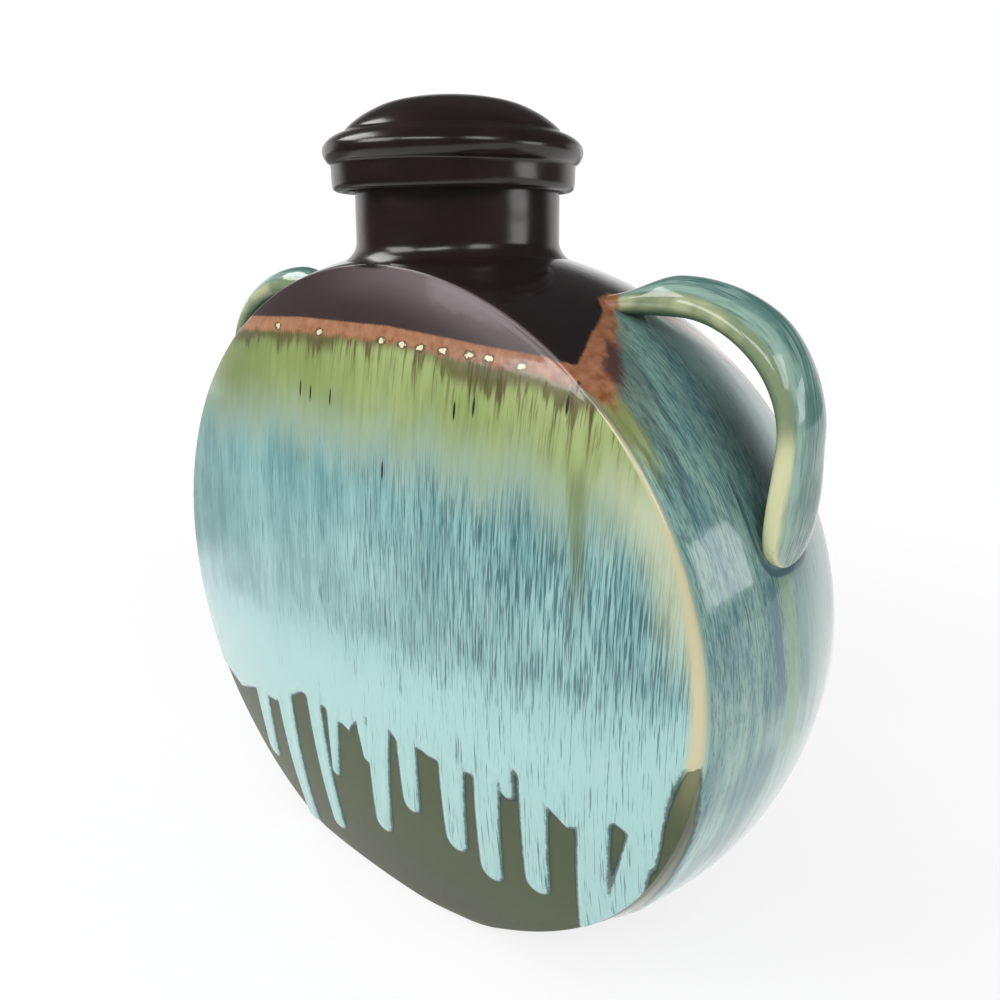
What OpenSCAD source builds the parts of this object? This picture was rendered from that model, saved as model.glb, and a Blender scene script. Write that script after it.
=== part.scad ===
// Pilgrim flask: two domed discs joined by a bulging band, cut flat to stand on edge,
// with a neck, a cap lid and a strap handle on each side.
// X runs across the discs, Y from the front to the back and Z up.
// The origin is on the ground under the middle of the flask.

/* [Discs] */
// Width of a disc at its rim
disc_w = 250; // [225:1:280]
// Height that the same disc would have without its flat foot
disc_h = 228.3; // [218:0.1:250]
// How far the middle of a disc stands out in front of its rim
dome_rise = 11; // [6:0.5:16]
// Thickness of the discs
disc_wall = 6; // [4.5:0.1:8]

/* [Band] */
// Distance between the front rim and the back rim
rim_depth = 76.3; // [72:0.1:95]
// How far the middle of the band stands out beyond the rims
band_bulge = 7.3; // [4:0.1:11]
// Thickness of the band
band_wall = 6; // [4.5:0.1:8]
// How far behind its rim each disc meets the band
seam_depth = 5; // [3:0.5:7]

/* [Foot] */
// How much of a disc's height is cut away for its flat foot
foot_cut = 7.55; // [5:0.05:11]
// Thickness of the foot slab
foot_t = 6; // [4:0.5:9]

/* [Neck] */
// Outer radius of the neck
neck_r = 33.4; // [28:0.1:34]
// Thickness of the neck
neck_wall = 5.4; // [4:0.1:7]
// Height of the neck's rim above the top of the shoulder
neck_h = 29.6; // [24:0.1:40]
// Radius of the hollow where the neck meets the shoulder
neck_fillet = 4; // [2:0.1:4.5]
// Rounding of the neck's rim
rim_round = 1.4; // [0.8:0.1:1.8]

/* [Lid] */
// Free space all round between the neck and the lid's skirt
lid_play = 2.4; // [1:0.1:3]
// Thickness of the skirt
skirt_wall = 4; // [3:0.1:5]
// How far the skirt hangs below the neck's rim
skirt_drop = 14.4; // [9:0.1:18]
// How much wider the skirt is at its top than at its lower edge
skirt_flare = 0.3; // [0:0.1:1]
// How far the bead stands out beyond the skirt's lower edge
bead_out = 2.6; // [1.5:0.1:3.5]
// Radius of the bead's round
bead_round = 5.3; // [4:0.1:6]
// Depth of the middle of the bead below the neck's rim
bead_drop = 2.2; // [1:0.1:3]
// How far the crown stands back behind the skirt's lower edge
crown_step = 4.1; // [3:0.1:5]
// Height of the crown above the neck's rim
crown_h = 15.1; // [13:0.1:20]
// Radius of the arc over the crown
crown_arc = 70; // [60:1:90]
// Rounding at the edge of the crown
crown_round = 3; // [1.5:0.1:4]
// Thickness of the crown over its hollow
crown_wall = 6; // [4:0.1:8]
// Rounding of the skirt's lower edge
skirt_round = 1.6; // [0.8:0.1:2]

/* [Handles] */
// Width of a strap over most of its length
strap_w = 21; // [16:0.5:26]
// Width of a strap where it leaves the shoulder
strap_root_w = 13.5; // [10:0.5:18]
// Thickness of a strap at its ends
strap_t = 7.6; // [6:0.1:9]
// Thickness of a strap at its highest
strap_crown_t = 11.4; // [9:0.1:13]
// Distance from the neck's axis to the place where a strap leaves the shoulder
root_x = 69; // [62:1:76]
// How far a strap rises above that place
crown_rise = 1.8; // [0:0.1:5]
// How far out from that place a strap is at its highest
crown_run = 19; // [14:1:24]
// Height above the middle of the discs at which a strap's lower end joins the band
low_root = 41.5; // [34:0.5:48]
// How far a strap stands out beyond its lower end
bow = 1.8; // [0:0.1:5]
// Height above its lower end at which a strap stands out most
bow_rise = 30; // [24:1:34]
// How deep the ends of a strap are let into the band
root_depth = 2.5; // [1:0.1:3.5]

/* [Hidden] */
// Slack by which a cutting shape runs past what it cuts
past = 1;
// Facets of the small rounds, of the round pieces and of the large shallow arcs
round_fn = 48;
ring_fn = 180;
arc_fn = 720;

// Height of the middle of the discs above the ground
middle_z = disc_h / 2 - foot_cut;

// Half depths of the rim and of the seams behind it
rim_y = rim_depth / 2;
seam_y = rim_y - seam_depth;
pole_y = rim_y + dome_rise;
// The band's outline half way between the rims is an oval with these half axes
oval = disc_h / disc_w;
ring_a = disc_w / 2 + band_bulge;
ring_b = ring_a * oval;
band_arc = (rim_y * rim_y + band_bulge * band_bulge) / (2 * band_bulge);
shoulder_z = middle_z + ring_b;

// Radii of the arcs over the dome, across its width and up its height
dome_arc_w = (disc_w * disc_w / 4 + dome_rise * dome_rise) / (2 * dome_rise);
dome_arc_h = (disc_h * disc_h / 4 + dome_rise * dome_rise) / (2 * dome_rise);

// The neck's bore goes on through the band
bore_r = neck_r - neck_wall;
rim_z = shoulder_z + neck_h;
// The hollow round at the neck's foot stays inside the discs' edges
foot_gap = 0.7;
fillet_r = min(neck_fillet, rim_depth / 2 - neck_r - foot_gap);
neck_foot_r = neck_r + fillet_r;
// Lowest point of the shoulder under the neck's foot, on its front and back
neck_foot_z = middle_z + band_radius(neck_foot_r) * oval;
// The hollow round ends a little under that point
fillet_sink = 0.3;
fillet_z = neck_foot_z + fillet_r - fillet_sink;

// Radii of the lid
skirt_in = neck_r + lid_play;
skirt_r = skirt_in + skirt_wall;
crown_r = skirt_r - crown_step;
// Centre of the rounding that touches both the crown's arc and its upright edge
crown_edge_x = crown_r - crown_round;
crown_edge_z = crown_h - crown_arc + sqrt(pow(crown_arc - crown_round, 2) - pow(crown_edge_x, 2));
crown_touch_x = crown_edge_x * crown_arc / (crown_arc - crown_round);

// Turning points of the strap's middle line, in the plane through the neck's axis
crown_x = root_x + crown_run;
crown_z = ring_z(root_x) + crown_rise;
low_z = middle_z + low_root;
reach_x = ring_x(low_z) + bow;
reach_z = low_z + bow_rise;

// Steps along the strap's two ends and its bend, points round it, and how square its section is
end_steps = 4;
bend_steps = 14;
strap_sides = 20;
squareness = 2.8;

// Radius of the band's arc, before the oval is drawn in, at a distance in front of or behind the middle
function band_radius(y) = ring_a - band_arc + sqrt(band_arc * band_arc - y * y);

// Height of the middle of the band at a distance from the axis, and the other way round
function ring_z(x) = middle_z + ring_b * sqrt(1 - pow(x / ring_a, 2));
function ring_x(z) = ring_a * sqrt(1 - pow((z - middle_z) / ring_b, 2));

function unit(v) = v / norm(v);

// Direction of the band's outline, outward and down, at one of its points
function wall_dir(p) = unit([(p[1] - middle_z) / pow(ring_b, 2), -p[0] / pow(ring_a, 2)]);

// Smooth step from 0 to 1
function ease(u) = let (c = max(0, min(1, u))) c * c * (3 - 2 * c);

// A cosine or sine pressed towards the sides of its square
function squared(v) = sign(v) * pow(abs(v), 2 / squareness);

// Middle line of the strap from the shoulder, over its bend and down to the band
strap_line = concat(
    [for (i = [0:end_steps - 1])
        let (u = 1 - i / end_steps) [crown_x - crown_run * u, crown_z - crown_rise * u * u]],
    [for (i = [0:bend_steps])
        let (t = 90 - 90 * i / bend_steps)
        [crown_x + (reach_x - crown_x) * cos(t), reach_z + (crown_z - reach_z) * sin(t)]],
    [for (i = [1:end_steps])
        let (u = i / end_steps) [reach_x - bow * u * u, reach_z - bow_rise * u]]
);
strap_last = len(strap_line) - 1;

// Direction in which the strap runs at each point of its middle line
function strap_dir(i) = unit(strap_line[min(i + 1, strap_last)] - strap_line[max(i - 1, 0)]);

// Half the strap's thickness, as a vector towards its outer side. The two ends lie along the wall.
function strap_side(i) =
    let (d = strap_dir(i), wall = wall_dir(strap_line[i]))
    i == 0 ? -wall * strap_t / 2 / abs(d[0] * wall[1] - d[1] * wall[0])
    : i == strap_last ? wall * strap_t / 2 / abs(d[0] * wall[1] - d[1] * wall[0])
    : [-d[1], d[0]] * strap_t / 2;

// The two ends are pushed on into the wall
function strap_centre(i) =
    strap_line[i] + strap_dir(i) * (i == 0 ? -root_depth : i == strap_last ? root_depth : 0);

function strap_half_w(i) =
    (strap_root_w + (strap_w - strap_root_w) * ease(i / (end_steps + bend_steps / 2))) / 2;

// How much the strap swells on its outer side, from 1 at its ends. Most of the bend is swollen.
function swell(i) =
    let (rise = ease(i / end_steps), fall = ease(2 * (i - end_steps) / bend_steps - 0.9))
    1 + 2 * (strap_crown_t / strap_t - 1) * rise * (1 - fall);

// Closed tube through rings of points
module tube(rings) {
    n = len(rings[0]);
    last = len(rings) - 1;
    points = [for (ring = rings) each ring];
    sides = [for (r = [0:last - 1], k = [0:n - 1])
        let (a = r * n + k, b = r * n + (k + 1) % n)
        each [[a, b, b + n], [a, b + n, a + n]]];
    start = [for (k = [1:n - 2]) [0, k + 1, k]];
    end = [for (k = [1:n - 2]) [last * n, last * n + k, last * n + k + 1]];
    polyhedron(points = points, faces = concat(sides, start, end), convexity = 4);
}

// A strap on the right-hand side
module strap() {
    tube([for (i = [0:strap_last])
        let (c = strap_centre(i), s = strap_side(i), w = strap_half_w(i))
        [for (k = [0:strap_sides - 1])
            let (a = 360 * k / strap_sides, across = w * squared(cos(a)))
            let (out = s * squared(sin(a)) * (sin(a) > 0 ? swell(i) : 1))
            [c[0] + out[0], across, c[1] + out[1]]]]);
}

// Turns a section, drawn as radius and depth, about the axis through both discs and draws it into the oval
module turned_oval() {
    translate([0, 0, middle_z])
        scale([1, 1, oval])
            rotate([90, 0, 0])
                rotate_extrude($fn = ring_fn)
                    children();
}

// Section of the band filled in to the axis, from one depth to another, drawn in by a wall
module band_section(from_y, to_y, wall = 0) {
    intersection() {
        translate([ring_a - band_arc, 0])
            circle(r = band_arc - wall, $fn = arc_fn);
        translate([0, from_y])
            square([disc_w, to_y - from_y]);
    }
}

// Barrel whose front is the front dome, set back by a wall
module dome(wall = 0) {
    translate([0, dome_arc_h - pole_y, middle_z])
        rotate([0, 90, 0])
            rotate_extrude($fn = arc_fn)
                intersection() {
                    translate([dome_arc_h - dome_arc_w, 0])
                        circle(r = dome_arc_w - wall, $fn = 2 * arc_fn);
                    translate([dome_arc_h - 2 * pole_y, -disc_w])
                        square([3 * pole_y, 2 * disc_w]);
                }
}

// The whole body as one solid, without its flat foot
module body_block() {
    intersection() {
        turned_oval()
            band_section(-pole_y - past, pole_y + past);
        dome();
        mirror([0, 1, 0])
            dome();
    }
}

// Everything below a height
module below(z) {
    translate([-disc_w, -disc_w, z - disc_h])
        cube([2 * disc_w, 2 * disc_w, disc_h]);
}

// A disc as the front one lies: its dome in front, flat where it meets the band
module disc() {
    difference() {
        intersection() {
            turned_oval()
                band_section(seam_y, pole_y + past);
            dome();
        }
        intersection() {
            turned_oval()
                band_section(seam_y - past, pole_y + past, band_wall);
            dome(disc_wall);
        }
        below(foot_t);
    }
}

module front_face() {
    color("#6f9c9a")
        disc();
}

module back_face() {
    color("#6f9c9a")
        mirror([0, 1, 0])
            disc();
}

// The wall strip between the discs, with a round hole for the mouth
module side_band() {
    color("#4f8489")
        difference() {
            turned_oval()
                difference() {
                    band_section(-seam_y, seam_y);
                    band_section(-seam_y - past, seam_y + past, band_wall);
                }
            below(foot_t);
            translate([0, 0, middle_z])
                cylinder(r = bore_r, h = disc_h, $fn = ring_fn);
        }
}

// The slab that closes the body at the bottom, trimmed to the body's outline
module base_slab() {
    color("#6a6650")
        intersection() {
            body_block();
            translate([-disc_w, -disc_w, 0])
                cube([2 * disc_w, 2 * disc_w, foot_t]);
        }
}

// Section of the neck: wall, rounded rim and the hollow round at its foot
module neck_section() {
    translate([bore_r, neck_foot_z - past])
        square([neck_wall, rim_z - rim_round - neck_foot_z + past]);
    translate([bore_r + rim_round, rim_z - 2 * rim_round])
        square([neck_wall - 2 * rim_round, 2 * rim_round]);
    for (x = [bore_r + rim_round, neck_r - rim_round])
        translate([x, rim_z - rim_round])
            circle(r = rim_round, $fn = round_fn);
    difference() {
        translate([neck_r - past, neck_foot_z - past])
            square([fillet_r + past, past + fillet_z - neck_foot_z]);
        translate([neck_foot_r, fillet_z])
            circle(r = fillet_r, $fn = round_fn);
    }
}

// The neck's foot is cut to the curve of the shoulder
module neck() {
    color("#2c2624")
        difference() {
            rotate_extrude($fn = ring_fn)
                neck_section();
            body_block();
        }
}

module handle_right() {
    color("#87b39c")
        strap();
}

module handle_left() {
    color("#87b39c")
        mirror([1, 0, 0])
            strap();
}

// Outer section of the lid, with its heights counted from the neck's rim
module lid_outline() {
    // Skirt
    polygon([
        [0, -skirt_drop],
        [skirt_r - skirt_round, -skirt_drop],
        [skirt_r, skirt_round - skirt_drop],
        [skirt_r + skirt_flare, -bead_drop],
        [0, -bead_drop]
    ]);
    translate([skirt_r - skirt_round, skirt_round - skirt_drop])
        circle(r = skirt_round, $fn = round_fn);
    // Bead
    translate([skirt_r + bead_out - bead_round, -bead_drop])
        circle(r = bead_round, $fn = round_fn);
    // Crown
    translate([0, -bead_drop])
        square([crown_r, bead_drop + crown_edge_z]);
    translate([crown_edge_x, crown_edge_z])
        circle(r = crown_round, $fn = round_fn);
    intersection() {
        translate([0, crown_h - crown_arc])
            circle(r = crown_arc, $fn = arc_fn);
        translate([0, -bead_drop])
            square([crown_touch_x, crown_h + bead_drop]);
    }
}

// Hollow of the lid: wide inside the skirt, where the crown rests on the neck's rim, and domed above
module lid_hollow() {
    translate([0, -skirt_drop - past])
        square([skirt_in, skirt_drop + past]);
    intersection() {
        translate([0, crown_h - crown_arc])
            circle(r = crown_arc - crown_wall, $fn = arc_fn);
        translate([0, -past])
            square([bore_r, crown_h]);
    }
}

module lid() {
    color("#2a2321")
        translate([0, 0, rim_z])
            rotate_extrude($fn = ring_fn)
                difference() {
                    intersection() {
                        lid_outline();
                        translate([0, -skirt_drop - past])
                            square([disc_w, skirt_drop + crown_h + 2 * past]);
                    }
                    lid_hollow();
                }
}

front_face();
back_face();
side_band();
base_slab();
neck();
handle_left();
handle_right();
lid();
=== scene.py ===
import math

import bpy
import numpy as np
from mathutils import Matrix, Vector, noise


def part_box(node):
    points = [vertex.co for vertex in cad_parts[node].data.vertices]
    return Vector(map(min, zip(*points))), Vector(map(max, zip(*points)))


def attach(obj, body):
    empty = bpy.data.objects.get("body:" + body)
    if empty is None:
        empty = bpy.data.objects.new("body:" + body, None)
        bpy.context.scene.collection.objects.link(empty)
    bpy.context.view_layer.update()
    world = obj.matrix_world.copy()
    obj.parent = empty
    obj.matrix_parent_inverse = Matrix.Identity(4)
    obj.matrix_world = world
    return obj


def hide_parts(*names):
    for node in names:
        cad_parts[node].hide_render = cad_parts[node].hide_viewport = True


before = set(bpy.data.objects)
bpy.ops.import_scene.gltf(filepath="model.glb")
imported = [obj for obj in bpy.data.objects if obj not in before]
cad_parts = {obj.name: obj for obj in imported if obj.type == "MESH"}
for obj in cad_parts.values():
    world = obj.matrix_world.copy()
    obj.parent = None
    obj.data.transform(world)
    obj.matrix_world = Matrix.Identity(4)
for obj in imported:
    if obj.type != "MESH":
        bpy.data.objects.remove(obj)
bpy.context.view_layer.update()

# Camera
# It stands in front of the flask's right-hand edge, level with the middle of the neck, and looks
# a little down at it, as in the photograph.
mm = 0.001
camera_place = Vector((227.4, -224.15, 227.46)) * mm
camera_turn = math.radians(42.9)
camera_dip = math.radians(15.8)
camera_lens = 32.94

bpy.ops.object.select_all(action="DESELECT")
bpy.ops.object.camera_add(location=camera_place, rotation=(math.pi / 2 - camera_dip, 0, camera_turn))
camera = bpy.context.object
camera.name = "camera"
camera.data.lens = camera_lens
camera.data.clip_start = 10 * mm
bpy.context.scene.camera = camera


# Discs
# The front and back of the body are two stoneware discs, thrown a little domed with a crisp rim and
# luted to the band. The upper part is left in dark slip. A glossy glaze starts at a copper-brown line
# and runs down in streaks to a row of drips, below which the olive slip shows.
middle_z = 106.6 * mm
rim_half_w = 125 * mm
rim_half_h = 114.15 * mm
oval = rim_half_h / rim_half_w
rim_y = 38.15 * mm
seam_y = 33.15 * mm
dome_rise = 11 * mm
disc_wall = 6 * mm
band_bulge = 7.3 * mm
band_wall = 6 * mm
foot_t = 6 * mm

dome_fullness = 3
rim_round = 1.3 * mm
body_steps = 720
band_arc = (rim_y ** 2 + band_bulge ** 2) / (2 * band_bulge)


def band_radius(y):
    """Radius of the band before it is drawn into the oval, at a distance from the middle of the flask."""
    return rim_half_w + band_bulge - band_arc + np.sqrt(band_arc ** 2 - y ** 2)


def dome_y(radius):
    """How far the dome stands in front of the middle of the flask."""
    return rim_y + dome_rise * (1 - (radius / rim_half_w) ** dome_fullness)


def turn_section(name, points, centre, axis, steps):
    """Extrudes a point along a closed section, given from a centre, and turns it about an axis."""
    bpy.ops.object.select_all(action="DESELECT")
    bpy.ops.mesh.primitive_plane_add(size=mm, location=centre)
    piece = bpy.context.object
    piece.name = name
    bpy.ops.object.mode_set(mode="EDIT")
    bpy.ops.mesh.select_all(action="SELECT")
    bpy.ops.mesh.merge(type="CENTER")
    bpy.ops.transform.translate(value=points[0])
    for start, end in zip(points, points[1:] + points[:1]):
        step = Vector(end) - Vector(start)
        bpy.ops.mesh.extrude_region_move(TRANSFORM_OT_translate={"value": step})
    bpy.ops.object.mode_set(mode="OBJECT")
    bpy.ops.object.modifier_add(type="SCREW")
    turn = piece.modifiers[-1]
    turn.axis = axis
    turn.steps = steps
    turn.render_steps = steps
    turn.use_merge_vertices = True
    bpy.ops.object.modifier_apply(modifier=turn.name)
    bpy.ops.object.mode_set(mode="EDIT")
    bpy.ops.mesh.select_all(action="SELECT")
    bpy.ops.mesh.remove_doubles(threshold=0.002 * mm)
    bpy.ops.mesh.normals_make_consistent(inside=False)
    bpy.ops.object.mode_set(mode="OBJECT")
    return piece


def turn_body_section(name, section):
    """Turns a closed section of radius and depth about the axis through both discs, into the oval."""
    points = [(radius, depth, 0) for radius, depth in section]
    piece = turn_section(name, points, (0, 0, middle_z), "Y", body_steps)
    piece.scale = (1, 1, oval)
    bpy.ops.object.transform_apply(location=True, rotation=True, scale=True)
    return piece


def spread(start, end, step):
    """Even distances from start to end, about a step apart, with both ends."""
    count = max(1, round(abs(end - start) / step))
    return [start + (end - start) * i / count for i in range(count + 1)]


def rim_curve(side, steps=5):
    """The rounded rim between the band and the dome, as radius and depth, from the band inwards."""
    corner = []
    for i in range(steps + 1):
        turn = math.pi / 2 * i / steps
        corner.append((
            rim_half_w - rim_round + rim_round * math.cos(turn),
            side * (rim_y - rim_round * 0.7 + rim_round * 0.9 * math.sin(turn)),
        ))
    return corner


def dome_curve(side):
    """The dome from the rim to its middle, with close rings where the glaze ends in drips."""
    radii = spread(rim_half_w - 2.2 * mm, 52 * mm, 1.05 * mm) + spread(47 * mm, 0, 7 * mm)
    return [(radius, side * dome_y(radius)) for radius in radii]


def disc_section(side):
    """Section of one disc: the last of the band, the rim, the dome, and the same again inside."""
    outer = [(band_radius(y), side * y) for y in (seam_y, seam_y + 0.1 * mm)]
    outer += [(band_radius(y), side * y) for y in spread(seam_y + 1 * mm, rim_y - 1.6 * mm, 1 * mm)]
    outer += rim_curve(side)
    outer += dome_curve(side)
    inner_radii = spread(0, rim_half_w - 9 * mm, 12 * mm)
    inner = [(radius, side * (dome_y(radius) - disc_wall)) for radius in inner_radii]
    inner += [(band_radius(seam_y) - band_wall - 1 * mm, side * (rim_y - disc_wall + 0.5 * mm))]
    inner += [(band_radius(seam_y) - band_wall, side * seam_y)]
    return outer + inner


# The foot's lower edge is rounded, and its right-hand end stands a little higher than its left.
foot_round = 3.5 * mm
foot_lift = 3.1 * mm
foot_lift_from = 13 * mm
foot_lift_to = 60 * mm
foot_lift_height = 54 * mm


def ease(value):
    """Smooth step from 0 to 1."""
    value = np.clip(value, 0, 1)
    return value * value * (3 - 2 * value)


def read_points(piece):
    points = np.empty(len(piece.data.vertices) * 3)
    piece.data.vertices.foreach_get("co", points)
    return points.reshape(-1, 3)


def write_points(piece, points):
    piece.data.vertices.foreach_set("co", points.ravel())
    piece.data.update()


def settle_foot(piece):
    """Presses the body flat where it stands, as it was when the clay was still soft."""
    points = read_points(piece)
    x, z = points[:, 0], points[:, 2]
    near = np.clip(foot_round - np.abs(z), 0, None)
    pressed = np.maximum(z, 0) + near ** 2 / (4 * foot_round)
    lift = ease((x - foot_lift_from) / (foot_lift_to - foot_lift_from)) * ease(1 - pressed / foot_lift_height)
    points[:, 2] = pressed + foot_lift * lift
    write_points(piece, points)


def trim(piece, height, keep_above):
    """Cuts a piece level at a height, closes the cut and keeps one side."""
    bpy.ops.object.select_all(action="DESELECT")
    bpy.context.view_layer.objects.active = piece
    piece.select_set(True)
    bpy.ops.object.mode_set(mode="EDIT")
    bpy.ops.mesh.select_all(action="SELECT")
    bpy.ops.mesh.bisect(
        plane_co=(0, 0, height), plane_no=(0, 0, 1), use_fill=True,
        clear_inner=keep_above, clear_outer=not keep_above,
    )
    bpy.ops.object.mode_set(mode="OBJECT")


# The glaze starts at this height on the discs, given along the disc's width, and runs down to drips.
line_points = [
    (-90, 199.5), (-73, 201.1), (-34, 203), (12, 202.8), (37, 200.9), (55, 199.3), (71, 198.1), (78, 196),
    (90, 195),
]
# On the band, given by the distance from its middle
band_line_points = [
    (0, 213), (7.5, 211.7), (11.4, 208.6), (23, 203.5), (30, 199.4), (35, 196.3), (38.2, 198.3),
]
# Where neighbouring drips run together, along the front disc's width
front_join = [
    (-125, 60), (-108, 50), (-92, 46), (-76, 52), (-59, 53), (-38, 65), (-23, 64), (-9, 60), (0, 72),
    (16, 70), (33, 67), (49, 68), (60, 69), (67, 77), (79, 69), (86, 64), (94, 68), (101, 72), (106.5, 69.5),
    (111, 60), (113.5, 62), (115, 72), (116.3, 81), (118, 88), (120.5, 95), (125, 98),
]
# Each drip: place and height of its lower end, half its width there, and its place and half width above
front_drips = [
    (-70, 22, 4.5, -70, 6),
    (-48, 0, 4.5, -52, 6.2),
    (-26, 9, 4, -31, 5),
    (-20.5, 36.6, 2.6, -18, 4.2),
    (0.5, 51.5, 2.8, -3, 4),
    (5, 24.4, 4.6, 8, 6.6),
    (22, 41, 4.4, 21.4, 5.4),
    (42, 35, 4.8, 42.4, 6.2),
    (56, 30, 4.6, 57, 5.6),
    (65, 65.5, 2.8, 64, 3.4),
    (74, 34, 4.6, 74.6, 5.6),
    (92.5, 18, 5.4, 95, 5.4),
    (99.5, 22, 5.6, 109.5, 4.4),
]
back_join = [
    (-125, 92), (-112, 84), (-98, 70), (-80, 66), (-66, 73), (-50, 66), (-34, 70), (-18, 63), (-4, 69),
    (12, 62), (27, 66), (42, 60), (58, 66), (72, 62), (88, 68), (104, 74), (125, 90),
]
back_drips = [
    (-104, 40, 4.2, -105, 5.6),
    (-89, 28, 4.8, -88, 6),
    (-73, 47, 4, -74, 5.4),
    (-58, 24, 4.6, -58, 6),
    (-42, 38, 4.4, -43, 5.4),
    (-27, 14, 4.8, -26, 6),
    (-11, 43, 4, -11, 5),
    (4, 27, 4.6, 4, 5.8),
    (19, 48, 3.8, 20, 5.2),
    (34, 19, 4.8, 34, 6),
    (50, 41, 4.2, 49, 5.4),
    (65, 30, 4.8, 65, 6),
    (80, 45, 4, 80, 5.2),
    (97, 33, 4.8, 96, 6),
]
# The same on the band, given along its depth, for its right-hand and left-hand side
right_join = [
    (-38.2, 97), (-37.2, 91), (-36.2, 84), (-34.4, 76), (-33.6, 68), (-33.2, 58), (-31, 44), (-27, 30),
    (-12, 22), (6, 26), (22, 21), (33, 44), (38.2, 90),
]
right_drips = [
    (-20, 12, 4.2, -21, 6),
    (-5, 7, 4.4, -4, 6.6),
    (12, 13, 4.2, 13, 6.4),
    (27, 9, 4, 28, 5.6),
]
left_join = [(-38.2, 50), (-30, 38), (-14, 27), (3, 31), (19, 24), (33, 44), (38.2, 88)]
left_drips = [
    (-24, 14, 4.2, -24, 6),
    (-7, 9, 4.4, -7, 6.2),
    (10, 15, 4.2, 10, 6.2),
    (26, 18, 4, 26, 5.4),
]
drip_blend = 1.4
bare_depth = 0.35 * mm
sheet_depth = 0.45 * mm
sheet_start = 9
edge_bead = 0.22 * mm
tip_bead = 0.4 * mm
clay_waver = 0.22 * mm
clay_waver_size = 42 * mm


def glaze_edge(across, height, join, drips):
    """Distance in mm from the glaze's lower edge, negative on the glaze, and nearness to a drip's end."""
    places = [p[0] for p in join]
    heights = [p[1] for p in join]
    reach = np.interp(across, places, heights)
    slope = (np.interp(across + 1.5, places, heights) - np.interp(across - 1.5, places, heights)) / 3
    distance = (reach - height) / np.hypot(1, slope)
    tip_near = np.zeros_like(distance)
    for tip_x, tip_z, tip_r, top_x, top_r in drips:
        low = tip_z + tip_r
        high = np.interp(top_x, places, heights) + 8
        along = np.clip((height - low) / (high - low), 0, 1)
        middle = tip_x + (top_x - tip_x) * along
        radius = tip_r + (top_r - tip_r) * along
        drip = np.hypot(across - middle, np.minimum(height - low, 0)) - radius
        share = np.clip(0.5 + 0.5 * (distance - drip) / drip_blend, 0, 1)
        distance = distance + (drip - distance) * share - drip_blend * share * (1 - share)
        tip_near = np.maximum(tip_near, np.exp(-(np.hypot(across - tip_x, height - low) / 6) ** 2))
    return distance, tip_near


def add_values(piece, name, values):
    """Keeps one number for each point of a piece, for its glaze to read."""
    layer = piece.data.attributes.new(name, "FLOAT", "POINT")
    layer.data.foreach_set("value", values.astype(np.float32))


def lay_body_glaze(piece):
    """Gives the clay its slight waver and the glaze its thickness, and notes where the glaze lies."""
    points = read_points(piece)
    x, y, z = (points / mm).T
    rim = rim_y / mm
    on_face = np.abs(y) > rim - 0.45
    turned = ease((np.abs(y) - rim + 1.4) / 1.4)
    face_line = np.interp(x, [p[0] for p in line_points], [p[1] for p in line_points])
    band_line = np.interp(np.abs(y), [p[0] for p in band_line_points], [p[1] for p in band_line_points])
    below_line = band_line + (face_line - band_line) * turned - z
    front, front_tip = glaze_edge(x, z, front_join, front_drips)
    back, back_tip = glaze_edge(x, z, back_join, back_drips)
    right, right_tip = glaze_edge(y, z, right_join, right_drips)
    left, left_tip = glaze_edge(y, z, left_join, left_drips)
    face_edge = np.where(y < 0, front, back)
    face_tip = np.where(y < 0, front_tip, back_tip)
    band_edge = np.where(x > 0, right, left)
    band_tip = np.where(x > 0, right_tip, left_tip)
    edge = band_edge + (face_edge - band_edge) * turned
    tip = band_tip + (face_tip - band_tip) * turned
    radius = np.hypot(x, (z - middle_z / mm) / oval)
    to_rim = np.where(on_face, rim_half_w / mm - radius, rim - np.abs(y))

    inside = -edge
    sheet = ease(below_line / sheet_start) * ease(inside / 1.7)
    bead = np.exp(-((inside - 2) / 1.5) ** 2) * (inside > 0) * ease(below_line / 20)
    thickness = sheet_depth * sheet + edge_bead * bead + tip_bead * tip * ease(inside / 2.5) - bare_depth
    waver = np.array([noise.noise(Vector(p) / clay_waver_size) for p in points])
    thickness = thickness + clay_waver * waver
    outward = np.stack([x, np.zeros_like(x), z - middle_z / mm], 1)
    outward /= np.maximum(np.linalg.norm(outward, axis=1, keepdims=True), 1)
    forward = np.stack([np.zeros_like(x), np.sign(y), np.zeros_like(x)], 1)
    towards = np.where(on_face[:, None], forward, outward)
    low = ease(points[:, 2] / (2 * mm))
    write_points(piece, points + towards * (thickness * low)[:, None])

    add_values(piece, "below_line", below_line)
    add_values(piece, "glaze_edge", edge)
    add_values(piece, "to_rim", to_rim)
    add_values(piece, "on_face", turned)


def finish_piece(piece, material, node, body="flask"):
    """Smooths a piece, gives it its glaze and sets it in the place of its plain solid."""
    bpy.ops.object.select_all(action="DESELECT")
    bpy.context.view_layer.objects.active = piece
    piece.select_set(True)
    bpy.ops.object.shade_smooth_by_angle(angle=math.radians(42))
    piece.data.materials.clear()
    piece.data.materials.append(material)
    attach(piece, body)
    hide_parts(node)


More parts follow.
